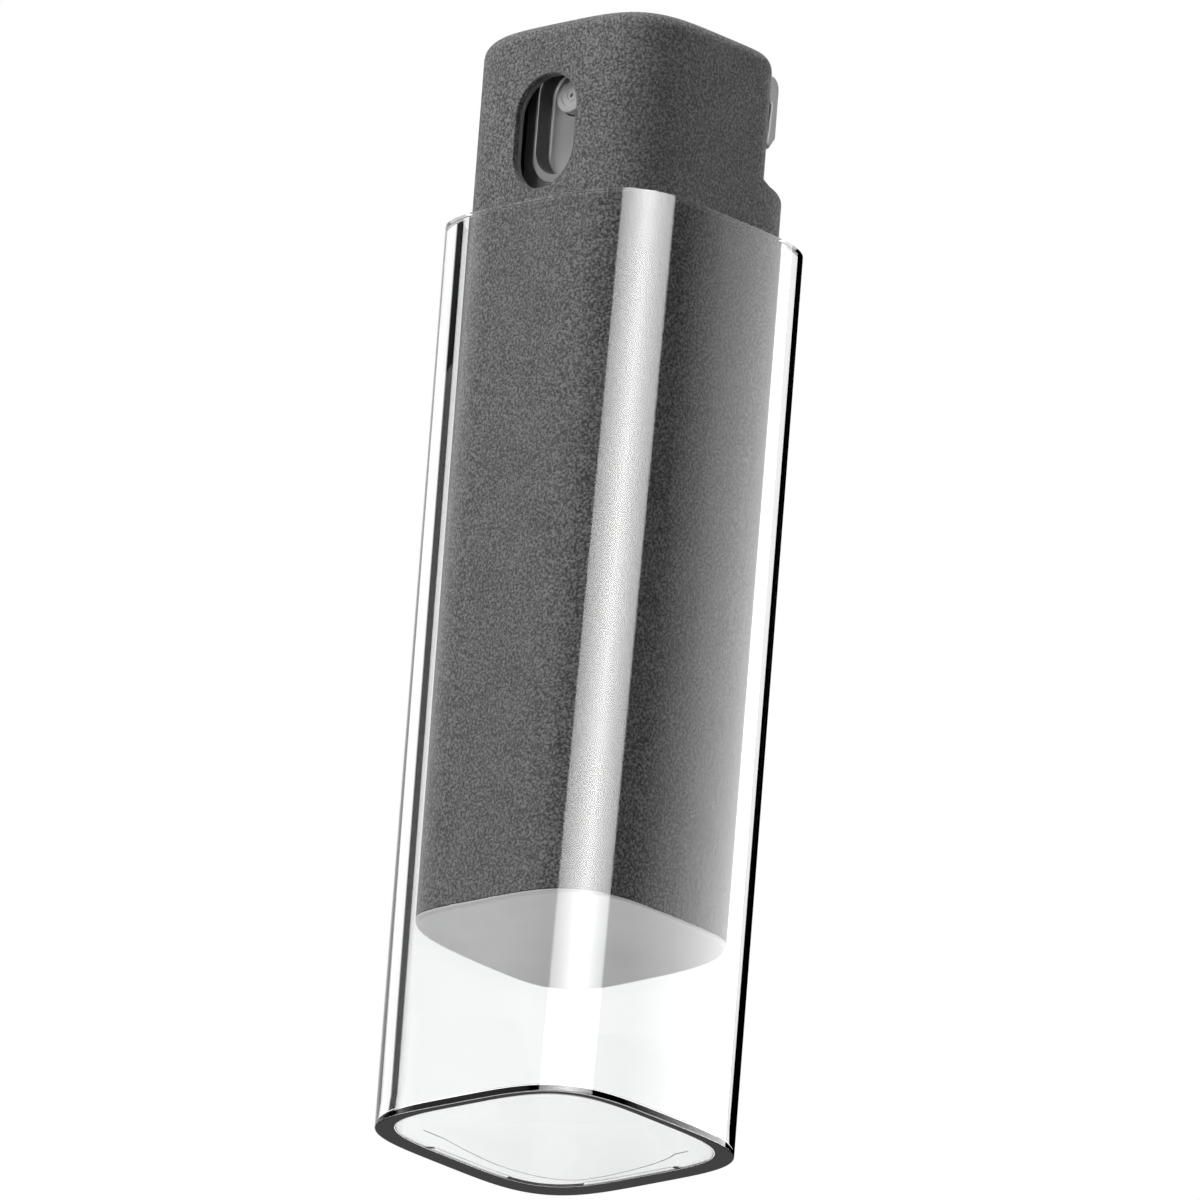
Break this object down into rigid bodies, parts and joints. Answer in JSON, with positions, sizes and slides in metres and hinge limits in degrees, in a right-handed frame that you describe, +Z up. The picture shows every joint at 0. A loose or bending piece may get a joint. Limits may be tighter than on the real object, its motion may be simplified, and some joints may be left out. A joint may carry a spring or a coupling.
{
  "type": "lens cleaning spray",
  "caption": "Pocket lens cleaning spray: a square microfibre-covered pump sprayer with a finger tab, sliding in a clear cover closed at its lower end.",
  "frame": {"origin": "middle of the cover's flat underside", "axes": "+Z up along the body towards its head, -Y the way the nozzle sprays, +Y the side with the finger tab, +X to the right when the nozzle faces the viewer"},
  "size_m": [0.028, 0.028, 0.1061],
  "materials": {
    "clear_plastic": "clear polished moulding",
    "microfibre": "grey suede microfibre with a fine short nap",
    "dark_plastic": "satin moulded dark grey",
    "mid_plastic": "satin moulded mid grey",
    "light_plastic": "satin moulded light grey",
    "bottle_plastic": "natural translucent moulding",
    "white_plastic": "satin moulded white",
    "seal_rubber": "moulded black seal",
    "stainless_steel": "bright drawn wire and ball"
  },
  "bodies": {
    "cover": {"clear_cover": "clear_plastic"},
    "spray_body": {"microfibre_sleeve": "microfibre", "body_shell": "dark_plastic", "base_plug": "light_plastic", "reservoir_bottle": "bottle_plastic", "pump_collar": "white_plastic", "neck_gasket": "seal_rubber", "pump_housing": "white_plastic", "pump_retainer": "white_plastic", "stem_seal": "seal_rubber", "dip_tube": "bottle_plastic", "inlet_ball": "stainless_steel", "return_spring": "stainless_steel"},
    "press_parts": {"actuator": "mid_plastic", "nozzle_insert": "light_plastic", "finger_tab": "light_plastic", "pump_stem": "white_plastic", "piston": "white_plastic", "outlet_poppet": "white_plastic"}
  },
  "joints": [
    {"name": "cover_slide", "type": "slide", "parent": "cover", "child": "spray_body", "axis": [0, 0, 1], "range_m": [-0.0184, 0.07]},
    {"name": "tab_press", "type": "slide", "parent": "spray_body", "child": "press_parts", "axis": [0, 0, -1], "range_m": [0, 0.0044], "stiffness_N_per_m": 600, "springref_m": -0.004, "deforming": ["return_spring"]}
  ]
}
